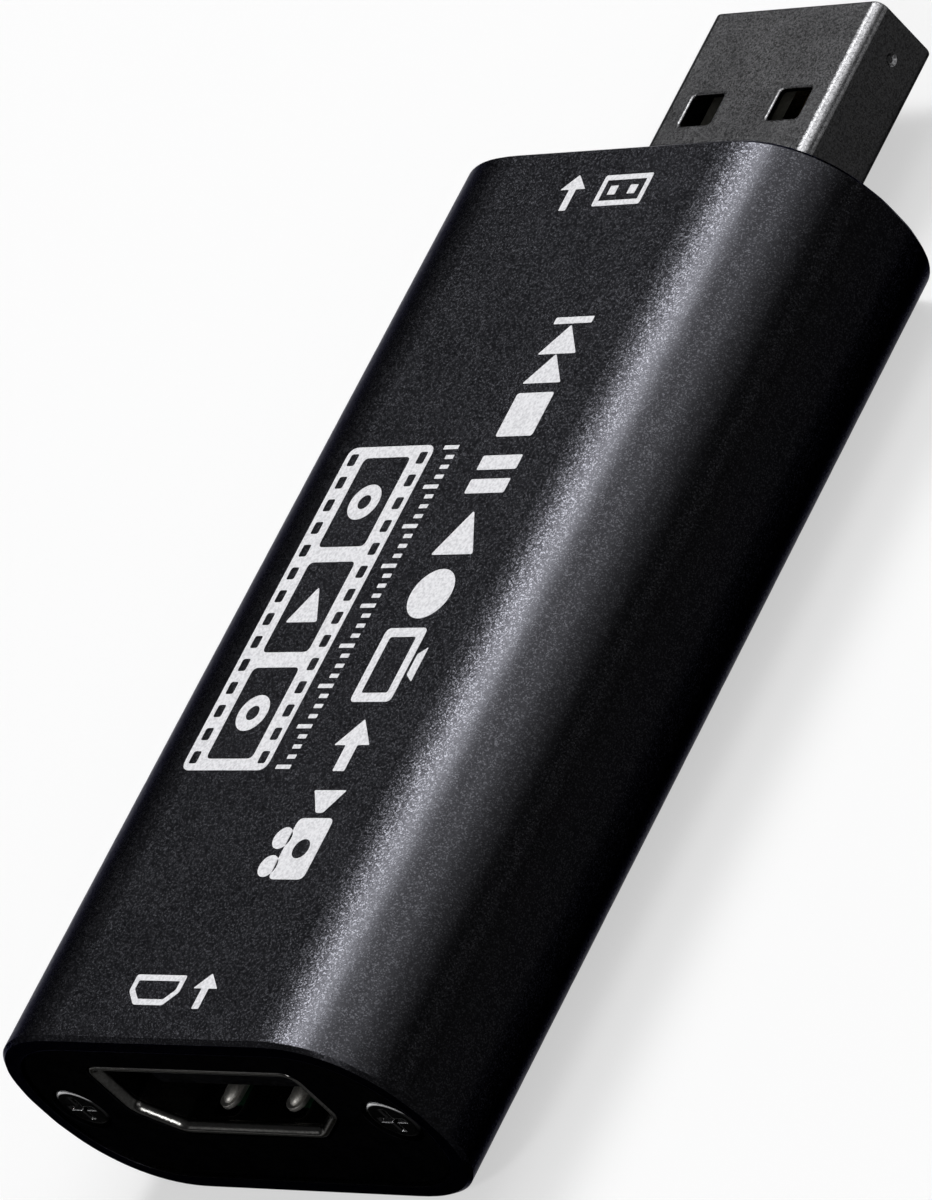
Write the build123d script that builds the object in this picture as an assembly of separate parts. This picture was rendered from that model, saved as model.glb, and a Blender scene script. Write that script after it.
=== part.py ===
from build123d import *
import os
from math import cos, radians, sin, sqrt

# A stick-shaped video capture box. All sizes are in millimetres.
# X runs across the box, Y along it towards the plug, and Z up.
# The origin is on the surface that the box lies on, under the middle of its whole length.

# Sleeve: a drawn tube, flat above and below, with round sides that start gently from the flats
body_length = 52.8
body_height = 12.9
flat_width = 14.8
side_bulge = 6.75
side_fullness_ratio = 2.3
quarter_point_count = 9
sleeve_wall = 1.0
sleeve_end_bevel = 0.2
rail_depth = 0.8
rail_overlap = 1.0
channel_wall = 0.5
channel_web = 1.4

# End plates, let into the ends of the sleeve
plate_thickness = 1.6
plate_inset = 0.15
plate_fit_gap = 0.08
plate_edge_bevel = 0.12
plate_web = 0.27
opening_gap = 0.15

# Screws that hold the end plates in the sleeve's channels
screw_shank_radius = 0.95
screw_shank_length = 5.0
screw_head_radius = 1.5
screw_head_height = 0.85
screw_head_round = 0.3
screw_head_setback = 0.05
screw_bore_gap = 0.05
screw_hole_gap = 0.2
screw_recess_gap = 0.15
cross_length = 1.8
cross_width = 0.36
cross_depth = 0.55
cross_taper = 12

# Circuit board, held between the rails and the undersides of the screw channels
board_thickness = 1.2
board_edge_gap = 0.35
board_slide_gap = 0.05
board_end_gap = 0.15
board_corner_radius = 0.5
board_slot_gap = 0.15

# Video socket, whose folded shell stands on the board
socket_width = 14.0
socket_height = 4.55
socket_floor_width = 9.8
socket_slant_height = 1.55
socket_corner_radius = 0.35
socket_depth = 10.9
socket_sheet = 0.3
socket_mouth_inset = 0.05
lip_bend_radius = 0.3
lip_bend_angle = 50
lip_corner_gap = 0.3
lip_pocket_gap = 0.2
seam_width = 0.1
seam_depth = 0.12
seam_tail = 0.9
socket_leg_width = 0.9
socket_leg_reach = 0.6
socket_leg_overlap = 0.8
socket_leg_front = 3.4
socket_leg_spacing = 5.4

# Sprung fingers in the socket's floor and roof
finger_width = 1.2
finger_length = 5.4
finger_thickness = 0.24
finger_spacing = 4.74
finger_tip_setback = 1.05
finger_slot_gap = 0.35
finger_root_gap = 0.05
finger_rise_angle = 3.0

# Moulding and contact strips in the socket
socket_tongue_width = 11.6
socket_tongue_thickness = 1.4
socket_tongue_lift = 0.1
socket_tongue_setback = 1.3
socket_tongue_bevel = 0.2
socket_block_depth = 3.8
socket_block_gap = 0.05
socket_upper_count = 10
socket_lower_count = 9
socket_contact_spacing = 1.0
socket_contact_width = 0.3
socket_contact_sheet = 0.2
socket_contact_proud = 0.06
socket_contact_setback = 0.6
socket_tail_drop = 0.6
socket_foot_length = 0.8

# Data plug: a folded shell sunk into a notch in the board
plug_exposed = 13.1
plug_width = 12.0
plug_height = 4.5
plug_sheet = 0.3
plug_corner_radius = 0.6
plug_tip_round = 0.12
plug_shell_length = 18.4
plug_sink = 2.2
plug_notch_gap = 0.2
plug_seam_width = 0.1
window_width = 2.25
window_length = 1.97
window_spacing = 6.25
window_setback = 5.28
window_corner_radius = 0.25
window_edge_round = 0.1
dimple_setback = 2.0
dimple_radius = 0.36
dimple_floor_radius = 0.2
dimple_depth = 0.14
plug_leg_width = 1.1
plug_leg_reach = 1.4
plug_leg_drop = 0.5
plug_leg_rear = 0.4
plug_leg_spacing = 2.0

# Moulding and contact strips in the plug
plug_tongue_setback = 0.25
plug_tongue_side_gap = 0.15
plug_cavity_depth = 9.3
plug_block_gap = 0.05
plug_contact_width = 1.0
plug_contact_sheet = 0.25
plug_contact_proud = 0.1
plug_outer_spacing = 7.0
plug_inner_spacing = 2.0
plug_outer_setback = 1.2
plug_inner_setback = 2.4
plug_tail_length = 1.3

# Capture chip: a flat square package on a ring of pads
chip_side = 7.0
chip_height = 0.85
chip_bevel = 0.1
chip_pads_per_side = 12
chip_pad_spacing = 0.5
chip_pad_width = 0.25
chip_pad_length = 0.45
chip_pad_height = 0.05
chip_pad_proud = 0.05
chip_heat_pad_side = 5.0

# Memory chip: a package with four bent leads on each side
memory_length = 4.9
memory_width = 3.9
memory_height = 1.4
memory_standoff = 0.15
memory_bevel = 0.15
memory_lead_count = 4
memory_lead_spacing = 1.27
memory_lead_width = 0.42
memory_lead_sheet = 0.2
memory_lead_reach = 1.05
memory_lead_foot = 0.6

# Voltage regulators: small packages with five leads
regulator_length = 2.9
regulator_width = 1.6
regulator_height = 1.1
regulator_standoff = 0.1
regulator_bevel = 0.1
regulator_lead_spacing = 0.95
regulator_lead_width = 0.35
regulator_lead_sheet = 0.15
regulator_lead_reach = 0.6
regulator_lead_foot = 0.4

# Clock crystal: a ceramic base under a metal lid
crystal_length = 3.2
crystal_width = 2.5
crystal_base_height = 0.5
crystal_lid_height = 0.3
crystal_lid_margin = 0.15
crystal_corner_radius = 0.2

# Small blocks soldered to the board: length, width and height of each kind
surge_length = 2.5
surge_width = 1.0
surge_height = 0.5
bulk_length = 2.0
bulk_width = 1.25
bulk_height = 1.2
small_length = 1.0
small_width = 0.5
small_height = 0.5
resistor_height = 0.35
bead_length = 1.6
bead_width = 0.8
bead_height = 0.8
block_bevel = 0.05

# Places on the board, as shares of half its width and of its free length from socket to plug
chip_place_share = (0.0, 0.33)
crystal_place_share = (0.5, 0.33)
memory_place_share = (-0.38, 0.7)
regulator_place_shares = [(0.27, 0.62), (0.27, 0.77)]
surge_place_shares = [(-0.25, 0.085), (0.25, 0.085)]
bulk_place_shares = [(-0.6, 0.9), (-0.32, 0.9), (0.57, 0.62), (0.57, 0.77)]
bead_place_shares = [(-0.05, 0.92), (0.22, 0.92)]
capacitor_place_shares = [
    (-0.24, 0.175), (-0.08, 0.175), (0.08, 0.175), (0.24, 0.175),
    (-0.24, 0.49), (-0.08, 0.49), (0.08, 0.49), (0.24, 0.49),
    (-0.42, 0.24), (-0.42, 0.3), (-0.42, 0.36), (-0.42, 0.42),
]
resistor_place_shares = [
    (-0.6, 0.085), (-0.6, 0.145), (0.6, 0.085), (0.6, 0.145), (0.5, 0.45), (-0.6, 0.3), (-0.6, 0.36),
]

# One overrun for every cut that has to pass right through
overrun = 1.0

# Places worked out from the sizes above
mid_z = body_height / 2
total_length = body_length + plug_exposed
input_face_y = -total_length / 2
output_face_y = input_face_y + body_length
plug_tip_y = output_face_y + plug_exposed
rib_start_y = input_face_y + plate_inset + plate_thickness
rib_end_y = output_face_y - plate_inset - plate_thickness

screw_bore_radius = screw_shank_radius + screw_bore_gap
screw_hole_radius = screw_shank_radius + screw_hole_gap
screw_recess_radius = screw_head_radius + screw_recess_gap
screw_recess_depth = screw_head_height + screw_head_setback
channel_radius = screw_bore_radius + channel_wall
plate_half_width = flat_width / 2 + side_bulge - sleeve_wall - plate_fit_gap
screw_x = plate_half_width - plate_web - screw_recess_radius

board_top = mid_z - channel_radius - board_slide_gap
board_bottom = board_top - board_thickness
board_start_y = rib_start_y + board_end_gap
board_end_y = rib_end_y - board_end_gap

socket_floor = board_top + socket_sheet
socket_roof = socket_floor + socket_height
socket_shoulder = socket_floor + socket_slant_height
lip_depth = (lip_bend_radius + socket_sheet) * sin(radians(lip_bend_angle))
lip_stand = socket_sheet + lip_bend_radius * (1 - cos(radians(lip_bend_angle)))
socket_mouth_y = input_face_y + plate_inset + socket_mouth_inset
socket_tube_y = socket_mouth_y + lip_depth
socket_rear_y = socket_mouth_y + socket_depth
socket_tail_y = socket_rear_y + socket_tail_drop
finger_tip_y = socket_mouth_y + finger_tip_setback
finger_root_y = finger_tip_y + finger_length
socket_tongue_mid = (socket_floor + socket_roof) / 2 + socket_tongue_lift

plug_bottom = board_top - plug_sink
plug_mid = plug_bottom + plug_height / 2
plug_top = plug_bottom + plug_height
plug_rear_y = plug_tip_y - plug_shell_length
notch_y = plug_rear_y - plug_notch_gap
plug_tail_end_y = notch_y - plug_tail_length
plug_tongue_top = board_top + plug_contact_sheet - plug_contact_proud

free_start_y = socket_tail_y + socket_foot_length
free_end_y = plug_tail_end_y


def along_y(outline, start_y, end_y):
    """Stands an outline of X and Z upright and draws it along Y."""
    return extrude(Plane.XZ.offset(-start_y) * outline, amount=end_y - start_y, dir=(0, 1, 0))


def along_x(outline, middle_x, width):
    """Stands an outline of Y and Z upright and draws it along X, half to each side."""
    return extrude(Plane.YZ.offset(middle_x - width / 2) * outline, amount=width, dir=(1, 0, 0))


def slab(low, high):
    """A block between two opposite corners."""
    size = [b - a for a, b in zip(low, high)]
    return Pos(*low) * Box(*size, align=(Align.MIN, Align.MIN, Align.MIN))


def rod_y(radius, x, z, start_y, end_y):
    """A round bar along Y."""
    return along_y(Pos(x, z) * Circle(radius), start_y, end_y)


def resting_block(length, width, height, bevel, x, y, base_z):
    """A block that stands on base_z, with its upper edges bevelled."""
    block = Box(length, width, height, align=(Align.CENTER, Align.CENTER, Align.MIN))
    block = chamfer(block.faces().sort_by(Axis.Z)[-1].edges(), bevel)
    return Pos(x, y, base_z) * block


def board_place(share):
    """Turns a pair of shares into X and Y on the board's free area."""
    across, along = share
    return across * board_half_width(), free_start_y + along * (free_end_y - free_start_y)


def side_reach(rise, inward):
    """Half the sleeve's width where its height is a share of the way from the middle to a flat."""
    shrink = (1 - abs(rise) ** side_fullness_ratio) ** (1 / side_fullness_ratio)
    return flat_width / 2 + (side_bulge - inward) * shrink


def sleeve_outline(inward):
    """The sleeve's section, taken in by a thickness."""
    half_height = body_height / 2 - inward
    quarter = []
    for i in range(quarter_point_count):
        turn = radians(90 * i / (quarter_point_count - 1))
        rise = cos(turn) ** (2 / side_fullness_ratio)
        quarter.append((side_reach(rise, inward), rise * half_height))
    edges = [Line((-flat_width / 2, z), (flat_width / 2, z)) for z in (half_height, -half_height)]
    for across in (1, -1):
        for up in (1, -1):
            corner = [(across * x, up * z) for x, z in quarter]
            edges.append(Spline(*corner, tangents=[(across, 0), (0, -up)]))
    return Pos(0, mid_z) * make_face(edges)


def inner_half_width(z):
    """Half the width of the room inside the sleeve at a height."""
    return side_reach((z - mid_z) / (body_height / 2 - sleeve_wall), sleeve_wall)


def board_half_width():
    return inner_half_width(board_bottom) - board_edge_gap


def screw_places():
    return [-screw_x, screw_x]


def make_housing():
    block = along_y(sleeve_outline(0), input_face_y, output_face_y)
    faces = block.faces().sort_by(Axis.Y)
    block = chamfer(faces[0].edges() + faces[-1].edges(), sleeve_end_bevel)
    room = along_y(sleeve_outline(sleeve_wall), input_face_y - overrun, output_face_y + overrun)
    sleeve = block - room
    wall_middle = along_y(sleeve_outline(sleeve_wall / 2), rib_start_y, rib_end_y)
    edge_x = flat_width / 2 + side_bulge
    for side, x in zip((-1, 1), screw_places()):
        channel = rod_y(channel_radius, x, mid_z, rib_start_y, rib_end_y)
        web = slab(
            (min(x, side * edge_x), rib_start_y, mid_z - channel_web / 2),
            (max(x, side * edge_x), rib_end_y, mid_z + channel_web / 2),
        )
        rail_x = side * (board_half_width() - rail_overlap)
        rail = slab(
            (min(rail_x, side * edge_x), rib_start_y, board_bottom - rail_depth),
            (max(rail_x, side * edge_x), rib_end_y, board_bottom),
        )
        sleeve += (channel + web + rail) & wall_middle
        sleeve -= rod_y(screw_bore_radius, x, mid_z, rib_start_y - overrun, rib_end_y + overrun)
    return sleeve


def end_plate(face_y, inward, opening):
    """A plate inside one end of the sleeve. inward is 1 where the inside lies towards +Y."""
    outer_y = face_y + inward * plate_inset
    inner_y = outer_y + inward * plate_thickness
    plate = along_y(sleeve_outline(sleeve_wall + plate_fit_gap), min(outer_y, inner_y), max(outer_y, inner_y))
    outer_face = plate.faces().sort_by(Axis.Y)[0 if inward > 0 else -1]
    plate = chamfer(outer_face.edges(), plate_edge_bevel)
    plate -= opening
    over_y = outer_y - inward * overrun
    past_y = inner_y + inward * overrun
    seat_y = outer_y + inward * screw_recess_depth
    for x in screw_places():
        plate -= rod_y(screw_hole_radius, x, mid_z, min(over_y, past_y), max(over_y, past_y))
        plate -= rod_y(screw_recess_radius, x, mid_z, min(over_y, seat_y), max(over_y, seat_y))
    return plate


def make_input_end_plate():
    start_y = input_face_y - overrun
    through = along_y(socket_outline(socket_sheet + opening_gap), start_y, rib_start_y + overrun)
    pocket_y = socket_tube_y + lip_pocket_gap
    pocket = along_y(socket_outline(lip_stand + lip_pocket_gap), start_y, pocket_y)
    return end_plate(input_face_y, 1, through + pocket)


def make_output_end_plate():
    opening = along_y(plug_outline(opening_gap), rib_end_y - overrun, output_face_y + overrun)
    return end_plate(output_face_y, -1, opening)


def plate_screw(x, face_y, inward):
    """One screw: a domed head with a cross in it and a plain shank."""
    top_y = face_y + inward * (plate_inset + screw_head_setback)
    seat_y = top_y + inward * screw_head_height
    end_y = seat_y + inward * screw_shank_length
    head = rod_y(screw_head_radius, x, mid_z, min(top_y, seat_y), max(top_y, seat_y))
    top_face = head.faces().sort_by(Axis.Y)[0 if inward > 0 else -1]
    head = fillet(top_face.edges(), screw_head_round)
    cross = Rectangle(cross_length, cross_width) + Rectangle(cross_width, cross_length)
    mouth = Plane(origin=(x, top_y, mid_z), x_dir=(1, 0, 0), z_dir=(0, inward, 0))
    head -= extrude(mouth * cross, amount=cross_depth, taper=cross_taper)
    return head + rod_y(screw_shank_radius, x, mid_z, min(seat_y, end_y), max(seat_y, end_y))


def make_screws(face_y, inward):
    return [plate_screw(x, face_y, inward) for x in screw_places()]


def socket_corners():
    """The mouth's six corners, clockwise from the left end of the roof."""
    half_roof = socket_width / 2
    half_floor = socket_floor_width / 2
    return [
        (-half_roof, socket_roof),
        (half_roof, socket_roof),
        (half_roof, socket_shoulder),
        (half_floor, socket_floor),
        (-half_floor, socket_floor),
        (-half_roof, socket_shoulder),
    ]


def socket_outline(outward):
    """The inside of the socket's shell, grown outwards, or taken in where outward is negative."""
    outline = Polygon(*socket_corners(), align=None)
    outline = fillet(outline.vertices(), socket_corner_radius)
    return offset(outline, outward) if outward else outline


def lip(start, end):
    """One flared lip, bent outwards along a straight edge of the mouth."""
    run_x = end[0] - start[0]
    run_z = end[1] - start[1]
    length = sqrt(run_x * run_x + run_z * run_z)
    step = Vector(run_x / length, 0, run_z / length)
    outward = Vector(-run_z / length, 0, run_x / length)
    origin = Vector(start[0], socket_tube_y, start[1]) + step * (socket_corner_radius + lip_corner_gap)
    middle = socket_sheet + lip_bend_radius
    outer = CenterArc((middle, 0), lip_bend_radius, 180, -lip_bend_angle)
    inner = CenterArc((middle, 0), middle, 180, -lip_bend_angle)
    section = make_face([outer, inner, Line(outer @ 0, inner @ 0), Line(outer @ 1, inner @ 1)])
    lip_length = length - 2 * (socket_corner_radius + lip_corner_gap)
    return extrude(Plane(origin=origin, x_dir=outward, z_dir=step) * section, amount=lip_length)


def socket_leg_boxes(gap):
    """The four legs that pass down through the board, each grown by a gap."""
    boxes = []
    outer_x = socket_width / 2 + socket_sheet
    for side in (-1, 1):
        near_x = side * socket_width / 2 - side * gap
        far_x = side * outer_x + side * gap
        for step in range(2):
            middle_y = socket_mouth_y + socket_leg_front + step * socket_leg_spacing
            half = socket_leg_width / 2 + gap
            low = (min(near_x, far_x), middle_y - half, board_bottom - socket_leg_reach - gap)
            high = (max(near_x, far_x), middle_y + half, socket_shoulder + socket_leg_overlap)
            boxes.append(slab(low, high))
    return boxes


def socket_seam():
    """The dovetail joint where the folded sheet meets in the socket's floor."""
    middle_y = (socket_tube_y + socket_rear_y) / 2
    quarter = (socket_rear_y - socket_tube_y) / 4
    points = [
        (0, socket_tube_y),
        (0, middle_y - quarter),
        (-seam_tail, middle_y - quarter - seam_tail / 2),
        (-seam_tail, middle_y + quarter + seam_tail / 2),
        (0, middle_y + quarter),
        (0, socket_rear_y),
    ]
    line = trace(Polyline(*points), line_width=seam_width)
    return Pos(0, 0, socket_floor - seam_depth) * extrude(line, amount=seam_depth + overrun)


def finger_slot(x, wall_z):
    """The window round a finger, right through the wall."""
    half = finger_width / 2 + finger_slot_gap
    start_y = finger_tip_y - finger_slot_gap
    window = slab(
        (x - half, start_y, wall_z - overrun / 2),
        (x + half, finger_root_y + finger_root_gap, wall_z + overrun / 2),
    )
    front_edges = window.edges().filter_by(Axis.Z).sort_by(Axis.Y)[:2]
    return fillet(front_edges, finger_width / 3)


def finger_places():
    """Name, X, wall height and direction towards the socket's inside, for each finger."""
    floor_z = socket_floor - socket_sheet / 2
    roof_z = socket_roof + socket_sheet / 2
    places = []
    for wall, wall_z, inward in (("floor", floor_z, 1), ("roof", roof_z, -1)):
        for hand, side in (("left", -1), ("right", 1)):
            places.append((wall + "_spring_" + hand, side * finger_spacing / 2, wall_z, inward))
    return places


def make_finger(x, wall_z, inward):
    """A finger with a round tip, which rises from its root into the socket."""
    radius = finger_width / 2
    straight = finger_length - radius
    plan = Pos(0, -straight / 2) * Rectangle(finger_width, straight) + Pos(0, -straight) * Circle(radius)
    blade = Pos(0, 0, -finger_thickness / 2) * extrude(plan, amount=finger_thickness)
    return Pos(x, finger_root_y, wall_z) * Rot(-inward * finger_rise_angle, 0, 0) * blade


def make_video_socket_shell():
    shell = along_y(socket_outline(socket_sheet), socket_tube_y, socket_rear_y)
    shell -= along_y(socket_outline(0), socket_tube_y - overrun, socket_rear_y + overrun)
    corners = socket_corners()
    for start, end in zip(corners, corners[1:] + corners[:1]):
        shell += lip(start, end)
    for leg in socket_leg_boxes(0):
        shell += leg
    shell -= socket_seam()
    for _, x, wall_z, _ in finger_places():
        shell -= finger_slot(x, wall_z)
    return shell


def socket_contact(x, face_z, outward):
    """A strip on the tongue's upper or lower face, with a tail down to the board.
    outward is 1 on the upper face and -1 on the lower one."""
    outer_z = face_z + outward * socket_contact_proud
    inner_z = outer_z - outward * socket_contact_sheet
    top_z = max(outer_z, inner_z)
    low_z = min(outer_z, inner_z)
    start_y = socket_mouth_y + socket_tongue_setback + socket_contact_setback
    tail_y = socket_tail_y
    inside_y = tail_y - socket_contact_sheet
    foot_y = tail_y + socket_foot_length
    foot_top = board_top + socket_contact_sheet
    outline = Polygon(
        (start_y, low_z),
        (inside_y, low_z),
        (inside_y, board_top),
        (foot_y, board_top),
        (foot_y, foot_top),
        (tail_y, foot_top),
        (tail_y, top_z),
        (start_y, top_z),
        align=None,
    )
    return along_x(outline, x, socket_contact_width)


def socket_contact_row(count, face_z, outward):
    middle = (count - 1) / 2
    return [socket_contact((i - middle) * socket_contact_spacing, face_z, outward) for i in range(count)]


def make_socket_contacts_upper():
    face_z = socket_tongue_mid + socket_tongue_thickness / 2
    return socket_contact_row(socket_upper_count, face_z, 1)


def make_socket_contacts_lower():
    face_z = socket_tongue_mid - socket_tongue_thickness / 2
    return socket_contact_row(socket_lower_count, face_z, -1)


def make_video_socket_insulator(contacts):
    block_y = socket_rear_y - socket_block_depth
    block = along_y(socket_outline(-socket_block_gap), block_y, socket_rear_y)
    half = socket_tongue_width / 2
    tongue = slab(
        (-half, socket_mouth_y + socket_tongue_setback, socket_tongue_mid - socket_tongue_thickness / 2),
        (half, block_y + overrun, socket_tongue_mid + socket_tongue_thickness / 2),
    )
    tip = tongue.faces().sort_by(Axis.Y)[0]
    tongue = chamfer(tip.edges(), socket_tongue_bevel)
    insulator = block + tongue
    for contact in contacts:
        insulator -= contact
    return insulator


def plug_outline(outward):
    """The outside of the plug's shell, grown outwards or taken in."""
    width = plug_width + 2 * outward
    height = plug_height + 2 * outward
    return Pos(0, plug_mid) * RectangleRounded(width, height, plug_corner_radius + outward)


def plug_leg_outlines(gap):
    """The section of a leg on each side: out over the board, then down through it."""
    outlines = []
    for side in (-1, 1):
        wall_x = plug_width / 2 - plug_sheet
        reach_x = plug_width / 2 + plug_leg_reach
        inner_x = reach_x - plug_sheet - gap
        outer_x = reach_x + gap
        low_z = board_bottom - plug_leg_drop - gap
        outline = Polygon(
            (side * wall_x, board_top),
            (side * inner_x, board_top),
            (side * inner_x, low_z),
            (side * outer_x, low_z),
            (side * outer_x, board_top + plug_sheet),
            (side * wall_x, board_top + plug_sheet),
            align=None,
        )
        outlines.append(outline)
    return outlines


def plug_legs(gap):
    """The plug shell's four legs, each grown by a gap."""
    legs = []
    for outline in plug_leg_outlines(gap):
        for step in range(2):
            start_y = plug_rear_y + plug_leg_rear + step * plug_leg_spacing
            legs.append(along_y(outline, start_y - gap, start_y + plug_leg_width + gap))
    return legs


def plug_dimple(side):
    """The tapered dent pressed into one side of the shell near its tip."""
    floor_x = side * (plug_width / 2 - dimple_depth)
    origin = (floor_x, plug_tip_y - dimple_setback, plug_mid)
    wide_radius = 2 * dimple_radius - dimple_floor_radius
    dent = Cone(dimple_floor_radius, wide_radius, 2 * dimple_depth, align=(Align.CENTER, Align.CENTER, Align.MIN))
    return Plane(origin=origin, x_dir=(0, 1, 0), z_dir=(side, 0, 0)) * dent


def make_data_plug_shell():
    shell = along_y(plug_outline(0), plug_rear_y, plug_tip_y)
    shell = fillet(shell.faces().sort_by(Axis.Y)[-1].edges(), plug_tip_round)
    shell -= along_y(plug_outline(-plug_sheet), plug_rear_y - overrun, plug_tip_y + overrun)
    opening = RectangleRounded(window_width, window_length, window_corner_radius)
    window = extrude(opening, amount=plug_height + 2 * overrun)
    window_y = plug_tip_y - window_setback - window_length / 2
    for side in (-1, 1):
        shell -= Pos(side * window_spacing / 2, window_y, plug_bottom - overrun) * window
    faces = shell.faces().sort_by(Axis.Z)
    rims = [edge for face in (faces[0], faces[-1]) for wire in face.inner_wires() for edge in wire.edges()]
    shell = fillet(rims, window_edge_round)
    for side in (-1, 1):
        shell -= plug_dimple(side)
    seam = slab(
        (-plug_seam_width / 2, plug_rear_y - overrun, plug_bottom - overrun),
        (plug_seam_width / 2, plug_tip_y + overrun, plug_bottom + plug_sheet / 2),
    )
    shell -= seam
    for leg in plug_legs(0):
        shell += leg
    return shell


def make_data_plug_contacts():
    contacts = []
    for spacing, setback in (
        (plug_outer_spacing, plug_outer_setback),
        (plug_inner_spacing, plug_inner_setback),
    ):
        for side in (-1, 1):
            middle_x = side * spacing / 2
            low = (middle_x - plug_contact_width / 2, plug_tail_end_y, board_top)
            high_z = board_top + plug_contact_sheet
            high = (middle_x + plug_contact_width / 2, plug_tip_y - setback, high_z)
            contacts.append(slab(low, high))
    return contacts


def make_data_plug_insulator(contacts):
    block = along_y(plug_outline(-plug_sheet - plug_block_gap), plug_rear_y, plug_tip_y - plug_cavity_depth)
    half = plug_width / 2 - plug_sheet - plug_tongue_side_gap
    tongue = slab(
        (-half, plug_tip_y - plug_cavity_depth - overrun, plug_bottom + plug_sheet),
        (half, plug_tip_y - plug_tongue_setback, plug_tongue_top),
    )
    lower_sides = tongue.edges().filter_by(Axis.Y).sort_by(Axis.Z)[:2]
    tongue = chamfer(lower_sides, plug_corner_radius - plug_sheet)
    insulator = block + tongue
    for contact in contacts:
        insulator -= contact
    return insulator


def make_circuit_board():
    half = board_half_width()
    length = board_end_y - board_start_y
    outline = RectangleRounded(2 * half, length, board_corner_radius)
    board = extrude(outline, amount=board_thickness)
    board = Pos(0, (board_start_y + board_end_y) / 2, board_bottom) * board
    notch_half = plug_width / 2 + plug_notch_gap
    board -= slab(
        (-notch_half, notch_y, board_bottom - overrun),
        (notch_half, board_end_y + overrun, board_top + overrun),
    )
    for leg in socket_leg_boxes(board_slot_gap) + plug_legs(board_slot_gap):
        board -= leg
    return board


def make_capture_chip():
    x, y = board_place(chip_place_share)
    return resting_block(
        chip_side, chip_side, chip_height, chip_bevel, x, y, board_top + chip_pad_height
    )


def make_capture_chip_pads():
    x, y = board_place(chip_place_share)
    half_pad = chip_heat_pad_side / 2
    pad_top = board_top + chip_pad_height
    pads = [slab((x - half_pad, y - half_pad, board_top), (x + half_pad, y + half_pad, pad_top))]
    reach = chip_side / 2 + chip_pad_proud - chip_pad_length / 2
    pad = Box(chip_pad_width, chip_pad_length, chip_pad_height)
    for quarter in range(4):
        for i in range(chip_pads_per_side):
            across = (i - (chip_pads_per_side - 1) / 2) * chip_pad_spacing
            turned = Rot(0, 0, quarter * 90) * Pos(across, reach, chip_pad_height / 2) * pad
            pads.append(Pos(x, y, board_top) * turned)
    return pads


def bent_lead(side, body_half, standoff, height, sheet, reach, foot):
    """The outline of a lead, in X and Z, that leaves a package half way up and ends flat on the board."""
    exit_z = board_top + standoff + height / 2
    drop_x = body_half + reach - foot
    end_x = body_half + reach
    points = [
        (body_half, exit_z + sheet / 2),
        (drop_x + sheet / 2, exit_z + sheet / 2),
        (drop_x + sheet / 2, board_top + sheet),
        (end_x, board_top + sheet),
        (end_x, board_top),
        (drop_x - sheet / 2, board_top),
        (drop_x - sheet / 2, exit_z - sheet / 2),
        (body_half, exit_z - sheet / 2),
    ]
    return Polygon(*[(side * px, pz) for px, pz in points], align=None)


def make_memory_chip():
    x, y = board_place(memory_place_share)
    return resting_block(
        memory_width, memory_length, memory_height, memory_bevel, x, y, board_top + memory_standoff
    )


def make_memory_chip_leads():
    x, y = board_place(memory_place_share)
    leads = []
    for side in (-1, 1):
        outline = bent_lead(
            side, memory_width / 2, memory_standoff, memory_height,
            memory_lead_sheet, memory_lead_reach, memory_lead_foot,
        )
        for i in range(memory_lead_count):
            middle_y = y + (i - (memory_lead_count - 1) / 2) * memory_lead_spacing
            half = memory_lead_width / 2
            leads.append(Pos(x, 0, 0) * along_y(outline, middle_y - half, middle_y + half))
    return leads


def make_voltage_regulators():
    base_z = board_top + regulator_standoff
    return [
        resting_block(
            regulator_width, regulator_length, regulator_height, regulator_bevel, *board_place(share), base_z
        )
        for share in regulator_place_shares
    ]


def make_regulator_leads():
    leads = []
    for share in regulator_place_shares:
        x, y = board_place(share)
        for side, steps in ((-1, (-1, 0, 1)), (1, (-1, 1))):
            outline = bent_lead(
                side, regulator_width / 2, regulator_standoff, regulator_height,
                regulator_lead_sheet, regulator_lead_reach, regulator_lead_foot,
            )
            for step in steps:
                middle_y = y + step * regulator_lead_spacing
                half = regulator_lead_width / 2
                leads.append(Pos(x, 0, 0) * along_y(outline, middle_y - half, middle_y + half))
    return leads


def rounded_block(length, width, height, radius, base_z):
    x, y = board_place(crystal_place_share)
    return Pos(x, y, base_z) * extrude(RectangleRounded(width, length, radius), amount=height)


def make_clock_crystal_base():
    return rounded_block(
        crystal_length, crystal_width, crystal_base_height, crystal_corner_radius, board_top
    )


def make_clock_crystal_lid():
    return rounded_block(
        crystal_length - 2 * crystal_lid_margin,
        crystal_width - 2 * crystal_lid_margin,
        crystal_lid_height,
        crystal_corner_radius,
        board_top + crystal_base_height,
    )


def board_blocks(length, width, height, shares):
    """Blocks of one kind, each standing on the board with its length across it."""
    return [resting_block(length, width, height, block_bevel, *board_place(share), board_top) for share in shares]


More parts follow.
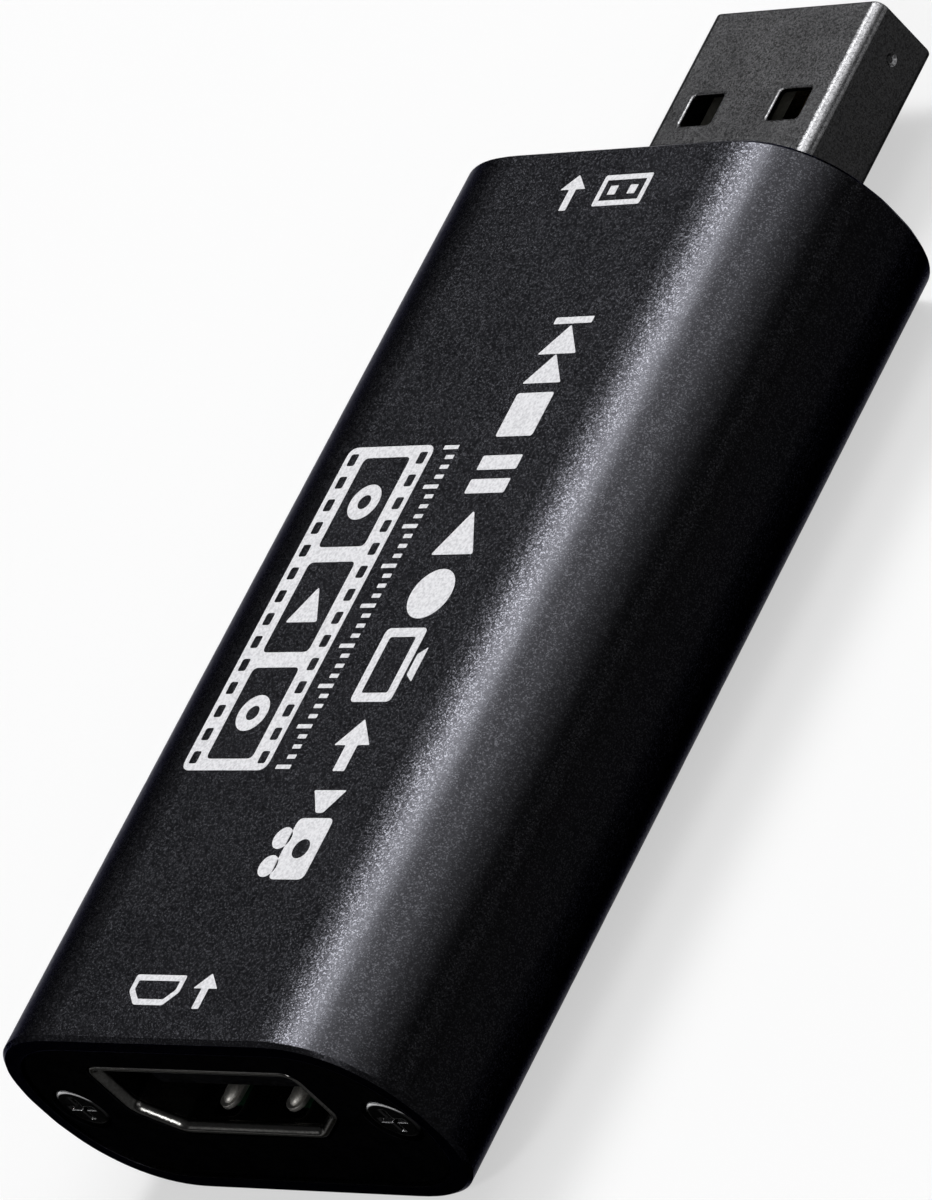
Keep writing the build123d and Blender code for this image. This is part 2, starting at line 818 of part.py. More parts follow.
def make_parts():
    upper = make_socket_contacts_upper()
    lower = make_socket_contacts_lower()
    plug_contacts = make_data_plug_contacts()
    parts = {
        "housing": make_housing(),
        "input_end_plate": make_input_end_plate(),
        "output_end_plate": make_output_end_plate(),
        "input_plate_screws": make_screws(input_face_y, 1),
        "output_plate_screws": make_screws(output_face_y, -1),
        "circuit_board": make_circuit_board(),
        "video_socket_shell": make_video_socket_shell(),
        "video_socket_insulator": make_video_socket_insulator(upper + lower),
        "video_socket_contacts_upper": upper,
        "video_socket_contacts_lower": lower,
        "data_plug_shell": make_data_plug_shell(),
        "data_plug_insulator": make_data_plug_insulator(plug_contacts),
        "data_plug_contacts": plug_contacts,
        "capture_chip": make_capture_chip(),
        "capture_chip_pads": make_capture_chip_pads(),
        "memory_chip": make_memory_chip(),
        "memory_chip_leads": make_memory_chip_leads(),
        "voltage_regulators": make_voltage_regulators(),
        "regulator_leads": make_regulator_leads(),
        "clock_crystal_base": make_clock_crystal_base(),
        "clock_crystal_lid": make_clock_crystal_lid(),
        "surge_protectors": board_blocks(surge_length, surge_width, surge_height, surge_place_shares),
        "bulk_capacitors": board_blocks(bulk_length, bulk_width, bulk_height, bulk_place_shares),
        "small_capacitors": board_blocks(small_length, small_width, small_height, capacitor_place_shares),
        "small_resistors": board_blocks(small_length, small_width, resistor_height, resistor_place_shares),
        "ferrite_beads": board_blocks(bead_length, bead_width, bead_height, bead_place_shares),
    }
    for name, x, wall_z, inward in finger_places():
        parts[name] = make_finger(x, wall_z, inward)
    return parts


os.makedirs("parts", exist_ok=True)
for name, shape in make_parts().items():
    solids = shape if isinstance(shape, list) else [shape]
    body = Compound(children=solids) if len(solids) > 1 else solids[0]
    export_step(body, "parts/" + name + ".step")
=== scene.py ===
import bmesh
import bpy
import math
from mathutils import Matrix, Vector


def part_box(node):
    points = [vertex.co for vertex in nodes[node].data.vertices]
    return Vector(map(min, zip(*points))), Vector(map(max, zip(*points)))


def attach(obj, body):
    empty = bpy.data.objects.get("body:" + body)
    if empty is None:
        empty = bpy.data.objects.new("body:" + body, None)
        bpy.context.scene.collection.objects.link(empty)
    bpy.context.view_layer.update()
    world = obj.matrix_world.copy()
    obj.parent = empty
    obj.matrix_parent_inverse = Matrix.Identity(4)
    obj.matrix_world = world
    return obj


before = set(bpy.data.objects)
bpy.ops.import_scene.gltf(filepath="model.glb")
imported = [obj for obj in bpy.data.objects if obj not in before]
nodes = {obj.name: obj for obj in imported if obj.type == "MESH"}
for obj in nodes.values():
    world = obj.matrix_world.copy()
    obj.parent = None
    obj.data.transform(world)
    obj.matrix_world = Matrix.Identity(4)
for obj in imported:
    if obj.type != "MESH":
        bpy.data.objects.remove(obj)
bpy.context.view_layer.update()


mm = 0.001
mm_in_metre = 1000.0

# The height of the sleeve's flat top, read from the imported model
top_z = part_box("housing")[1].z

# The mouth of the video socket's shell, in mm
socket_half_roof = 7.0
socket_half_floor = 4.9
socket_floor_z = 5.2
socket_shoulder_z = 6.75
socket_roof_z = 9.75

# The flare round that mouth, in mm and degrees. It bends about a line that lies flare_turn
# out from the mouth and flare_depth behind the shell's front edge.
flare_corner = 0.35
flare_turn = 0.6
flare_depth = 0.46
flare_inner_radius = 0.62
flare_outer_radius = 0.28
flare_angle = 52
flare_steps = 8

# The contact bumps on the sprung fingers. Length and width are shares of the finger's width,
# and the place is a share of the bump's own length, from the finger's front end.
bump_length_share = 1.35
bump_width_share = 0.72
bump_place_share = 0.62
bump_height = 0.36 * mm
bump_sink = 0.06 * mm

# The print on the flat top, in mm
print_lift = 0.004
print_half_thickness = 0.006

# The floor, and the share of plain white that is mixed into its look
floor_half_size = 12.0
floor_drop = 0.02 * mm
floor_paleness = 0.82
floor_white_share = 0.55

# The even light of the room, low down and higher up, and the height where the second starts
room_low = (0.07, 0.07, 0.072)
room_high = (0.055, 0.055, 0.057)
room_high_from = 0.2

# The soft lamps: direction from the object, width and length in metres, and strength
lamp_distance = 2.4
soft_lamps = {
    "softbox": dict(direction=(-0.36, 0.40, 0.84), width=0.9, length=0.9, strength=2.0),
    "fill": dict(direction=(0.11, 0.40, 0.91), width=2.2, length=2.0, strength=1.35),
    "glow": dict(direction=(0.60, 0.40, 0.69), width=1.8, length=1.8, strength=0.34),
    "front": dict(direction=(0.12, -0.74, 0.66), width=0.5, length=0.5, strength=0.75),
    "left": dict(direction=(-0.74, -0.54, 0.40), width=0.5, length=0.5, strength=0.025),
    "near": dict(direction=(0.74, -0.42, 0.53), width=1.0, length=1.0, strength=0.28),
}

# The Z of the normal at which a surface starts to count as lying flat, and at which it fully does, for
# the painted shade on flat faces
flat_from = 0.86
flat_fully = 0.97

# Grain of the black sleeve and of the bare sheet, and how far its facets lean
sleeve_cell_mm = 0.06
sleeve_lean = 0.10
sheet_cell_mm = 0.07
sheet_lean = 0.045

# The radius with which most edges are shaded
edge_softening_mm = 0.05

mottled_finishes = {
    "end_plate_black": dict(
        dark=(0.003, 0.003, 0.0034),
        light=(0.0075, 0.0075, 0.0085),
        rough=(0.40, 0.50),
        grain_mm=0.12,
        relief_mm=0.002,
        metal=1.0,
        edge_tint=0.25,
    ),
    "moulding_black": dict(
        dark=(0.005, 0.005, 0.0055),
        light=(0.012, 0.012, 0.013),
        rough=(0.42, 0.6),
        grain_mm=0.2,
        relief_mm=0.003,
        metal=1.0,
        edge_tint=0.3,
    ),
    "plug_moulding": dict(
        dark=(0.27, 0.264, 0.225),
        light=(0.36, 0.354, 0.305),
        rough=(0.4, 0.55),
        grain_mm=0.2,
        relief_mm=0.003,
        gloss=0.3,
    ),
    "contact_gold": dict(
        dark=(0.26, 0.19, 0.09),
        light=(0.38, 0.28, 0.14),
        rough=(0.2, 0.34),
        grain_mm=0.15,
        relief_mm=0.002,
        metal=1.0,
    ),
    "chip_black": dict(
        dark=(0.006, 0.006, 0.007),
        light=(0.016, 0.016, 0.017),
        rough=(0.5, 0.68),
        grain_mm=0.12,
        relief_mm=0.004,
        gloss=0.4,
    ),
    "tinned_lead": dict(
        dark=(0.50, 0.50, 0.51),
        light=(0.70, 0.70, 0.70),
        rough=(0.28, 0.42),
        grain_mm=0.18,
        relief_mm=0.003,
        metal=1.0,
    ),
    "pale_ceramic": dict(
        dark=(0.52, 0.50, 0.45),
        light=(0.68, 0.66, 0.60),
        rough=(0.45, 0.6),
        grain_mm=0.15,
        relief_mm=0.003,
    ),
    "capacitor_tan": dict(
        dark=(0.22, 0.12, 0.055),
        light=(0.34, 0.20, 0.10),
        rough=(0.35, 0.5),
        grain_mm=0.15,
        relief_mm=0.003,
    ),
    "ferrite_grey": dict(
        dark=(0.035, 0.035, 0.04),
        light=(0.075, 0.075, 0.08),
        rough=(0.4, 0.55),
        grain_mm=0.12,
        relief_mm=0.003,
    ),
}

# In these finishes the side value paints shade on what stands upright or faces down, and the flat value
# paints shade on what lies flat
steel_finishes = {
    # Painted shade leaves the screw heads' upright faces almost black, so that only their sloped edges
    # show the bright colour
    "screw_steel": dict(
        dark=(0.72, 0.72, 0.73),
        light=(0.92, 0.92, 0.93),
        rough=(0.20, 0.28),
        relief_mm=0.002,
        softening_mm=0.14,
        painted_side_shade=0.012,
        slope=(0.2, 0.5),
    ),
    "flare_steel": dict(
        dark=(0.105, 0.103, 0.098),
        light=(0.175, 0.172, 0.165),
        rough=(0.18, 0.24),
        relief_mm=0.001,
        softening_mm=0.03,
        painted_side_shade=0.15,
    ),
    "socket_steel": dict(
        dark=(0.05, 0.048, 0.044),
        light=(0.09, 0.087, 0.081),
        rough=(0.22, 0.30),
        relief_mm=0.002,
        softening_mm=0.08,
        painted_side_shade=0.2,
    ),
    # Painted highlight: the rounded edges keep the full colour, while the flat top and the sides get
    # painted shade
    "plug_steel": dict(
        dark=(0.14, 0.14, 0.144),
        light=(0.43, 0.43, 0.442),
        rough=(0.28, 0.33),
        relief_mm=0.0015,
        softening_mm=0.10,
        painted_side_shade=0.064,
        painted_flat_shade=0.34,
        slope=(0.0, 0.6),
    ),
    "finger_steel": dict(
        dark=(0.42, 0.41, 0.385),
        light=(0.58, 0.565, 0.53),
        rough=(0.42, 0.50),
        relief_mm=0.002,
        softening_mm=0.05,
        edge_tint=0.8,
    ),
}


def make_camera():
    """The photograph's viewpoint, found by fitting the outline of sleeve and plug."""
    right = Vector((0.673725, 0.423551, -0.605558))
    up = Vector((0.013333, 0.812347, 0.583021))
    forward = Vector((-0.738862, 0.40087, -0.541651))
    place = Vector((0.347031, -0.192542, 0.262774))
    data = bpy.data.cameras.new("camera")
    data.sensor_fit = "HORIZONTAL"
    data.sensor_width = 36.0
    data.lens = 376.38
    data.clip_start = 0.01
    data.clip_end = 50.0
    camera = bpy.data.objects.new("camera", data)
    turn = Matrix((right, up, -forward)).transposed().to_4x4()
    camera.matrix_world = Matrix.Translation(place) @ turn
    bpy.context.scene.collection.objects.link(camera)
    bpy.context.scene.camera = camera


def grey(value):
    """A colour with three equal values."""
    return (value, value, value)


class Shader:
    """A node material, built up from its principled shader."""

    def __init__(self, name):
        self.material = bpy.data.materials.new(name + "_finish")
        self.material.use_nodes = True
        self.tree = self.material.node_tree
        self.tree.nodes.clear()
        self.surface = self.add("ShaderNodeBsdfPrincipled")
        self.output = self.add("ShaderNodeOutputMaterial")
        self.join(self.surface.outputs["BSDF"], self.output.inputs["Surface"])
        place = self.add("ShaderNodeTexCoord")
        self.place = place.outputs["Object"]
        split = self.add("ShaderNodeSeparateXYZ")
        self.join(place.outputs["Normal"], split.inputs["Vector"])
        self.upward = split.outputs["Z"]
        self.bent_normal = None

    def add(self, kind, **values):
        """A new node, with its own settings."""
        node = self.tree.nodes.new(kind)
        for key, value in values.items():
            setattr(node, key, value)
        return node

    def join(self, output, socket):
        self.tree.links.new(output, socket)

    def set(self, **values):
        """Sets the surface's own values. Here, a socket's name has underscores for its spaces."""
        for key, value in values.items():
            self.surface.inputs[key.replace("_", " ")].default_value = value

    def stretched(self, scale):
        """The object's own coordinates, drawn out by a scale for each axis."""
        mapping = self.add("ShaderNodeMapping")
        mapping.inputs["Scale"].default_value = scale
        self.join(self.place, mapping.inputs["Vector"])
        return mapping.outputs["Vector"]

    def noise(self, size_mm, detail=2.0, rough=0.55, source=None):
        """Noise whose features are about size_mm across."""
        node = self.add("ShaderNodeTexNoise")
        node.inputs["Scale"].default_value = mm_in_metre / size_mm
        node.inputs["Detail"].default_value = detail
        node.inputs["Roughness"].default_value = rough
        self.join(source or self.place, node.inputs["Vector"])
        return node.outputs["Fac"]

    def spread(self, value, low, high, from_low=0.3, from_high=0.7):
        """Brings a noise, mostly between from_low and from_high, to the range from low to high."""
        node = self.add("ShaderNodeMapRange")
        node.inputs["From Min"].default_value = from_low
        node.inputs["From Max"].default_value = from_high
        node.inputs["To Min"].default_value = low
        node.inputs["To Max"].default_value = high
        self.join(value, node.inputs["Value"])
        return node.outputs["Result"]

    def ramp(self, value, stops):
        """Colours that follow a value. A stop is a place from 0 to 1 and its colour."""
        node = self.add("ShaderNodeValToRGB")
        elements = node.color_ramp.elements
        for at, colour in stops[1:-1]:
            elements.new(at)
        for element, (at, colour) in zip(elements, stops):
            element.position = at
            element.color = (*colour, 1.0)
        self.join(value, node.inputs["Fac"])
        return node.outputs["Color"]

    def colour(self, value):
        self.join(value, self.surface.inputs["Base Color"])

    def shaded(self, colour, factor):
        """A colour times a factor."""
        node = self.add("ShaderNodeMix", data_type="RGBA", blend_type="MULTIPLY")
        node.inputs["Factor"].default_value = 1.0
        self.join(colour, node.inputs["A"])
        self.join(factor, node.inputs["B"])
        return node.outputs["Result"]

    def painted_slope_shade(self, painted_side_shade, low, high, painted_flat_shade=1.0):
        """A painted shade factor that follows how the surface lies.

        It is 1 on a slope, the side value on what stands upright or faces down,
        and the flat value on what lies flat, which paints shade on those faces.
        """
        stops = [(low, grey(painted_side_shade)), (high, grey(1.0))]
        if painted_flat_shade < 1.0:
            stops += [(flat_from, grey(1.0)), (flat_fully, grey(painted_flat_shade))]
        return self.ramp(self.upward, stops)

    def rough(self, value):
        self.join(value, self.surface.inputs["Roughness"])

    def normal(self, value):
        """Takes a bent normal in the place of any that is there."""
        self.bent_normal = value
        for link in list(self.surface.inputs["Normal"].links):
            self.tree.links.remove(link)
        self.join(value, self.surface.inputs["Normal"])

    def soften(self, radius_mm):
        """Shades sharp edges as if they were rounded."""
        edge = self.add("ShaderNodeBevel", samples=6)
        edge.inputs["Radius"].default_value = radius_mm * mm
        self.normal(edge.outputs["Normal"])

    def cells(self, size_mm):
        """Random colours, one for each tiny cell of the surface."""
        node = self.add("ShaderNodeTexVoronoi")
        node.inputs["Scale"].default_value = mm_in_metre / size_mm
        self.join(self.place, node.inputs["Vector"])
        return node.outputs["Color"]

    def one_of(self, colour):
        """The first of a colour's three values."""
        split = self.add("ShaderNodeSeparateColor")
        self.join(colour, split.inputs["Color"])
        return split.outputs["Red"]

    def facets(self, cells, lean):
        """Breaks the surface into tiny facets that lean at random, as blasting does."""
        middle = grey(0.5)
        centred = self.add("ShaderNodeVectorMath", operation="SUBTRACT")
        self.join(cells, centred.inputs[0])
        centred.inputs[1].default_value = middle
        scaled = self.add("ShaderNodeVectorMath", operation="SCALE")
        self.join(centred.outputs["Vector"], scaled.inputs[0])
        scaled.inputs["Scale"].default_value = lean
        added = self.add("ShaderNodeVectorMath", operation="ADD")
        self.join(scaled.outputs["Vector"], added.inputs[0])
        self.join(self.bent_normal, added.inputs[1])
        unit = self.add("ShaderNodeVectorMath", operation="NORMALIZE")
        self.join(added.outputs["Vector"], unit.inputs[0])
        self.normal(unit.outputs["Vector"])

    def bump(self, value, height_mm):
        """Adds relief of height_mm over any that is there."""
        node = self.add("ShaderNodeBump")
        node.inputs["Distance"].default_value = height_mm * mm
        self.join(value, node.inputs["Height"])
        if self.bent_normal is not None:
            self.join(self.bent_normal, node.inputs["Normal"])
        self.normal(node.outputs["Normal"])


def mottled(name, dark, light, rough, grain_mm, relief_mm, metal=0.0, gloss=0.5, edge_tint=1.0):
    """A finish whose colour and relief follow fine grain, and whose shine follows broader patches."""
    dark_to = 0.35
    light_from = 0.65
    grains_in_patch = 9.0
    shader = Shader(name)
    shader.set(Metallic=metal, Specular_IOR_Level=gloss, Specular_Tint=(*grey(edge_tint), 1.0))
    grain = shader.noise(grain_mm)
    patches = shader.noise(grain_mm * grains_in_patch, detail=3.0)
    shader.colour(shader.ramp(grain, [(dark_to, dark), (light_from, light)]))
    shader.rough(shader.spread(patches, *rough))
    shader.soften(edge_softening_mm)
    shader.bump(grain, relief_mm)
    return shader.material


def anodised():
    """Blasted and dyed aluminium: almost black, with sparkling grain, and painted shade where it stands
    upright or turns down.
    """
    dim = (0.020, 0.020, 0.0226)
    plain = (0.030, 0.0303, 0.034)
    bright = (0.080, 0.081, 0.0905)
    plain_at = 0.7
    edge_tint = (0.30, 0.30, 0.34)
    # Painted shade: the colour falls to this share where the sleeve stands upright or faces down
    painted_side_shade = 0.12
    slope = (0.25, 0.62)
    patch_mm = 3.5
    rough = (0.29, 0.32)
    shader = Shader("black_anodised")
    shader.set(Metallic=1.0, Specular_Tint=(*edge_tint, 1.0))
    cells = shader.cells(sleeve_cell_mm)
    colour = shader.ramp(shader.one_of(cells), [(0.0, dim), (plain_at, plain), (1.0, bright)])
    shader.colour(shader.shaded(colour, shader.painted_slope_shade(painted_side_shade, *slope)))
    shader.rough(shader.spread(shader.noise(patch_mm, detail=3.0), *rough))
    shader.soften(edge_softening_mm)
    shader.facets(cells, sleeve_lean)
    return shader.material


def steel(
    name,
    dark,
    light,
    rough,
    relief_mm,
    softening_mm,
    painted_side_shade=1.0,
    edge_tint=0.4,
    painted_flat_shade=1.0,
    slope=(0.3, 0.65),
):
    """Bare rolled sheet, with grain and faint lines drawn along it.

    Painted shade darkens what stands upright or faces down by the side value, and what lies flat by the
    flat value; where the flat value is low, the slopes between stand out as a painted highlight.
    """
    patch_mm = 2.2
    line_mm = 0.11
    along_y = (1.0, 0.16, 1.0)
    shader = Shader(name)
    shader.set(Metallic=1.0, Specular_Tint=(*grey(edge_tint), 1.0))
    cells = shader.cells(sheet_cell_mm)
    lines = shader.noise(line_mm, source=shader.stretched(along_y))
    colour = shader.ramp(shader.one_of(cells), [(0.0, dark), (1.0, light)])
    # The colour times painted shade that follows the slope
    shader.colour(shader.shaded(colour, shader.painted_slope_shade(painted_side_shade, *slope, painted_flat_shade)))
    shader.rough(shader.spread(shader.noise(patch_mm, detail=3.0), *rough))
    shader.soften(softening_mm)
    shader.facets(cells, sheet_lean)
    shader.bump(lines, relief_mm)
    return shader.material


def laminate():
    """Dark green lacquered board with the faint relief of copper under it."""
    track = (0.012, 0.075, 0.03)
    track_to = 0.04
    ground = (0.005, 0.035, 0.016)
    ground_from = 0.12
    cells_in_metre = 700.0
    patch_mm = 0.6
    rough = (0.28, 0.45)
    relief_mm = 0.02
    shader = Shader("board_laminate")
    shader.set(Specular_IOR_Level=0.5)
    cells = shader.add("ShaderNodeTexVoronoi", feature="DISTANCE_TO_EDGE", distance="MANHATTAN")
    cells.inputs["Scale"].default_value = cells_in_metre
    shader.join(shader.place, cells.inputs["Vector"])
    shader.colour(shader.ramp(cells.outputs["Distance"], [(track_to, track), (ground_from, ground)]))
    shader.rough(shader.spread(shader.noise(patch_mm), *rough))
    shader.bump(cells.outputs["Distance"], relief_mm)
    return shader.material


def ink():
    """White print, a little uneven where it lies on the grain."""
    thin = (0.53, 0.53, 0.55)
    thin_to = 0.32
    full = (0.71, 0.71, 0.73)
    full_from = 0.60
    grain_mm = 0.16
    patch_mm = 0.5
    rough = (0.5, 0.68)
    relief_mm = 0.006
    shader = Shader("white_print")
    shader.set(Specular_IOR_Level=0.3)
    grain = shader.noise(grain_mm)
    shader.colour(shader.ramp(grain, [(thin_to, thin), (full_from, full)]))
    shader.rough(shader.spread(shader.noise(patch_mm), *rough))
    shader.bump(grain, relief_mm)
    return shader.material


def make_materials():
    """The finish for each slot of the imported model, and for the plug's moulding and the flare."""
    finishes = {"black_anodised": anodised(), "board_laminate": laminate()}
    for name, values in mottled_finishes.items():
        finishes[name] = mottled(name, **values)
    for name, values in steel_finishes.items():
        finishes[name] = steel(name, **values)
    return finishes


def dress_nodes(finishes):
    """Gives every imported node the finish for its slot, and the plug's moulding one of its own."""
    for piece in nodes.values():
        slot = piece.data.materials[0].name
        piece.data.materials[0] = finishes[slot]
    nodes["data_plug_insulator"].data.materials[0] = finishes["plug_moulding"]


def add_piece(name, mesh, finish):
    """Puts a mesh in the scene as a piece of its own, in its finish."""
    mesh.materials.append(finish)
    piece = bpy.data.objects.new(name, mesh)
    bpy.context.scene.collection.objects.link(piece)
    return piece


def rounded(points, radius, steps=5):
    """A closed outline with its corners rounded."""
    outline = []
    count = len(points)
    for i, corner in enumerate(points):
        corner = Vector(corner)
        before = Vector(points[i - 1]) - corner
        after = Vector(points[(i + 1) % count]) - corner
        start = corner + before.normalized() * min(radius, before.length / 2)
        end = corner + after.normalized() * min(radius, after.length / 2)
        for k in range(steps + 1):
            t = k / steps
            outline.append(start * (1 - t) ** 2 + corner * 2 * t * (1 - t) + end * t * t)
    return outline


def box_loop(u, v, width, height, radius):
    """A rectangle with rounded corners, round a middle point."""
    left = u - width / 2
    right = u + width / 2
    low = v - height / 2
    high = v + height / 2
    return rounded([(left, low), (right, low), (right, high), (left, high)], radius)


def round_loop(u, v, radius, steps=48):
    """A circle round a middle point."""
    angles = [math.tau * k / steps for k in range(steps)]
    return [Vector((u + radius * math.cos(angle), v + radius * math.sin(angle))) for angle in angles]


def pointer(u, v, width, height, radius=0.2):
    """A triangle that points along +u."""
    tail = u - width / 2
    tip = u + width / 2
    return rounded([(tail, v - height / 2), (tip, v), (tail, v + height / 2)], radius)


def arrow(u, v, width, height, shaft):
    """An arrow that points along +v, with its stem."""
    half = width / 2
    half_shaft = shaft / 2
    tip = v + height / 2
    tail = v - height / 2
    neck = tip - half
    points = [
        (u - half_shaft, tail),
        (u + half_shaft, tail),
        (u + half_shaft, neck),
        (u + half, neck),
        (u, tip),
        (u - half, neck),
        (u - half_shaft, neck),
    ]
    return rounded(points, radius=0.08)


def film_strip():
    """A strip of film, with a pointer in its middle frame and a reel in each of the others."""
    hole_count = 14
    hole_pitch = 1.36
    hole_row_v = 2.5
    frame_pitch = 6.25
    loops = [box_loop(0, 0, width=19.2, height=6.2, radius=0.6)]
    for i in range(hole_count):
        u = (i - (hole_count - 1) / 2) * hole_pitch
        for v in (-hole_row_v, hole_row_v):
            loops.append(box_loop(u, v, width=0.72, height=0.56, radius=0.14))
    for i in (-1, 0, 1):
        loops.append(box_loop(i * frame_pitch, 0, width=5.35, height=3.35, radius=0.35))
    loops.append(pointer(0.15, 0, width=2.1, height=2.3))
    for i in (-1, 1):
        for radius in (1.05, 0.42):
            loops.append(round_loop(i * frame_pitch, 0, radius))
    return loops


def time_scale():
    """A row of short strokes, of which every fourth is longer."""
    stroke_count = 33
    stroke_pitch = 0.588
    first_u = -9.4
    foot_v = -0.55
    loops = []
    for i in range(stroke_count):
        height = 1.05 if i % 4 == 0 else 0.6
        u = first_u + i * stroke_pitch
        loops.append(box_loop(u, foot_v + height / 2, width=0.24, height=height, radius=0.04))
    return loops


def film_camera():
    """A film camera from its side: a body, a lens, two reels, and a round window in the body."""
    body = (-15.35, -0.25)
    lens = [(-13.3, -0.45), (-12.0, -1.35), (-12.0, 0.95), (-13.3, 0.05)]
    loops = [box_loop(*body, width=3.5, height=2.5, radius=0.4), rounded(lens, radius=0.12)]
    for u in (-16.35, -14.75):
        loops.append(round_loop(u, 1.45, radius=0.62))
    loops.append(round_loop(*body, radius=0.55))
    return loops


def wide_arrow():
    """The arrow that points from the camera to the screen."""
    tail = -10.9
    neck = -9.4
    tip = -7.9
    half_shaft = 0.42
    half_head = 1.25
    points = [
        (tail, -half_shaft),
        (neck, -half_shaft),
        (neck, -half_head),
        (tip, 0),
        (neck, half_head),
        (neck, half_shaft),
        (tail, half_shaft),
    ]
    return rounded(points, radius=0.1)


def screen():
    """A screen on a foot."""
    middle = (-4.75, 0.35)
    foot = [(-5.75, -1.85), (-3.75, -1.85), (-4.15, -1.3), (-5.35, -1.3)]
    return [
        box_loop(*middle, width=4.3, height=2.9, radius=0.35),
        box_loop(*middle, width=3.25, height=1.85, radius=0.15),
        rounded(foot, radius=0.08),
    ]


def recorder_keys():
    """The usual signs of a recorder's keys: record, play, pause, stop, and skip forward."""
    loops = [round_loop(-0.6, 0, radius=1.45), pointer(3.0, 0, width=2.6, height=3.0)]
    for u in (5.75, 7.15):
        loops.append(box_loop(u, 0, width=0.85, height=2.8, radius=0.12))
    loops.append(box_loop(10.0, 0, width=2.6, height=2.6, radius=0.18))
    for u in (12.75, 14.5):
        loops.append(pointer(u, 0, width=1.75, height=2.7, radius=0.12))
    loops.append(box_loop(15.65, 0, width=0.4, height=2.7, radius=0.08))
    return loops


def video_signs():
    """A camera, an arrow and a screen, and then the signs of a recorder's keys."""
    return film_camera() + [wide_arrow()] + screen() + recorder_keys()


def socket_sign():
    """The socket's outline beside an arrow into the box."""
    outer = [(-3.2, 0.85), (0.4, 0.85), (0.4, -0.1), (-0.35, -0.85), (-2.45, -0.85), (-3.2, -0.1)]
    inner = [(-2.87, 0.52), (0.07, 0.52), (0.07, 0.03), (-0.49, -0.52), (-2.31, -0.52), (-2.87, 0.03)]
    inward = arrow(2.1, 0, width=1.7, height=2.0, shaft=0.5)
    return [rounded(outer, radius=0.15), rounded(inner, radius=0.08), inward]


def plug_sign():
    """The plug's outline with its two windows beside an arrow out of the box."""
    middle = (-1.7, 0)
    loops = [
        box_loop(*middle, width=3.4, height=1.9, radius=0.15),
        box_loop(*middle, width=2.76, height=1.26, radius=0.06),
    ]
    for u in (-2.4, -1.0):
        loops.append(box_loop(u, 0, width=0.55, height=0.55, radius=0.05))
    inward = arrow(2.0, 0, width=1.8, height=2.2, shaft=0.5)
    outward = [Vector((point.x, -point.y)) for point in inward]
    loops.append(outward)
    return loops


def print_mark(name, loops, x, y, turn, finish):
    """Lays outlines, in mm, on the flat top as thin print, with their own origin at x and y.

    turn is the angle of their own +u from +X, in degrees.
    """
    curve = bpy.data.curves.new(name, "CURVE")
    curve.dimensions = "2D"
    curve.fill_mode = "BOTH"
    curve.extrude = print_half_thickness
    for loop in loops:
        spline = curve.splines.new("POLY")
        spline.points.add(len(loop) - 1)
        for point, place in zip(spline.points, loop):
            point.co = (place.x, place.y, 0, 1)
        spline.use_cyclic_u = True
    drawn = bpy.data.objects.new(name + "_drawn", curve)
    bpy.context.scene.collection.objects.link(drawn)
    bpy.context.view_layer.update()
    mesh = bpy.data.meshes.new_from_object(drawn.evaluated_get(bpy.context.evaluated_depsgraph_get()))
    bpy.data.objects.remove(drawn)
    mesh.name = name
    shift = Matrix.Translation((x * mm, y * mm, top_z + print_lift * mm))
    mesh.transform(shift @ Matrix.Rotation(math.radians(turn), 4, "Z") @ Matrix.Scale(mm, 4))
    mesh.materials.clear()
    piece = add_piece(name, mesh, finish)
    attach(piece, "box")


def make_print():
    """All the signs on the flat top."""
    finish = ink()
    print_mark("print_film_strip", film_strip(), x=-4.9, y=-7.85, turn=90, finish=finish)
    print_mark("print_time_scale", time_scale(), x=-0.65, y=-7.85, turn=90, finish=finish)
    print_mark("print_video_signs", video_signs(), x=3.45, y=-6.6, turn=90, finish=finish)
    print_mark("print_socket_sign", socket_sign(), x=0.0, y=-30.05, turn=0, finish=finish)
    print_mark("print_plug_sign", plug_sign(), x=0.3, y=17.05, turn=180, finish=finish)


def make_finger_bump(finger, facing, finish):
    """The pressed contact bump near a finger's front end.

    facing is 1 for a finger in the floor and -1 for one in the roof.
    """
    under_middle = -0.001
    low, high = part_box(finger)
    width = high.x - low.x
    length = width * bump_length_share
    shape = bmesh.new()
    bmesh.ops.create_uvsphere(shape, u_segments=32, v_segments=16, radius=1.0)
    lower_half = [vertex for vertex in shape.verts if vertex.co.z < under_middle]
    bmesh.ops.delete(shape, geom=lower_half, context="VERTS")
    bmesh.ops.scale(shape, verts=shape.verts, vec=(width * bump_width_share / 2, length / 2, bump_height))
    if facing < 0:
        bmesh.ops.scale(shape, verts=shape.verts, vec=(1, 1, -1))
        bmesh.ops.reverse_faces(shape, faces=shape.faces)
    surface_z = high.z if facing > 0 else low.z
    middle_x = (low.x + high.x) / 2
    middle_y = low.y + length * bump_place_share
    middle = Vector((middle_x, middle_y, surface_z - facing * bump_sink))
    bmesh.ops.translate(shape, verts=shape.verts, vec=middle)
    for face in shape.faces:
        face.smooth = True
    mesh = bpy.data.meshes.new(finger + "_bump")
    shape.to_mesh(mesh)
    shape.free()
    piece = add_piece(finger + "_bump", mesh, finish)
    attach(piece, finger)


def make_finger_bumps(finish):
    """A bump on each of the four sprung fingers in the socket."""
    for wall, facing in (("floor", 1), ("roof", -1)):
        for hand in ("left", "right"):
            make_finger_bump(wall + "_spring_" + hand, facing, finish)


